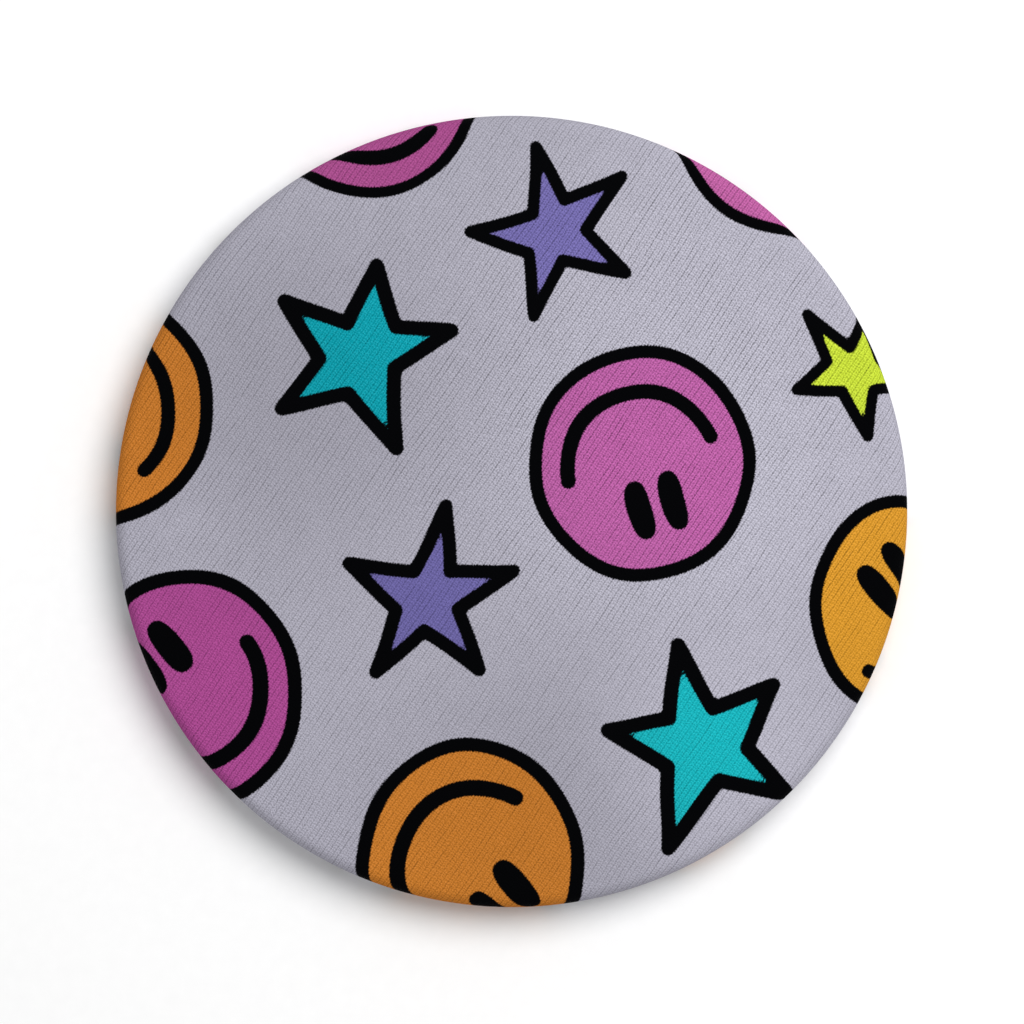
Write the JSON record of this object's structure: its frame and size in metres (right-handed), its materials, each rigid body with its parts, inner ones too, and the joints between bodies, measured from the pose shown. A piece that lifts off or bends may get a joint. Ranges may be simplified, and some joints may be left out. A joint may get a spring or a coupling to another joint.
{
  "type": "button badge",
  "caption": "Round pin-back badge: a printed fabric cover over a domed tinplate shell, crimped on a dished back with a hinged needle and a turning lock.",
  "frame": {"origin": "centre of the badge's foot, the flat ring of the cover's hem, on the surface that it lies on", "axes": "+Z out of the face, +X to the right and +Y up on the face as it is worn; the needle lies along X"},
  "size_m": [0.058, 0.058, 0.0066],
  "materials": {
    "printed_knit": "matt fine knit with a printed pattern",
    "nonwoven": "matt white nonwoven",
    "tinplate": "bright rolled tinplate",
    "nickel": "bright nickel plate",
    "needle_steel": "drawn and polished steel wire"
  },
  "bodies": {
    "badge": {"fabric_cover": "printed_knit", "interlining": "nonwoven", "front_shell": "tinplate", "back_plate": "tinplate", "pin_bar": "nickel", "bar_rivet_left": "nickel", "bar_rivet_right": "nickel", "hinge_bracket": "nickel", "hinge_rivet": "nickel", "catch_housing": "nickel"},
    "needle": {"pin_stem": "needle_steel"},
    "lock": {"catch_lock": "nickel"}
  },
  "joints": [
    {"name": "needle_hinge", "type": "hinge", "parent": "badge", "child": "needle", "pos_m": [-0.015, 0.005, 0.002], "axis": [0, 1, 0], "range_deg": [0, 100]},
    {"name": "lock_turn", "type": "hinge", "parent": "badge", "child": "lock", "pos_m": [0.015, 0.005, 0.002], "axis": [-1, 0, 0], "range_deg": [0, 76]}
  ]
}
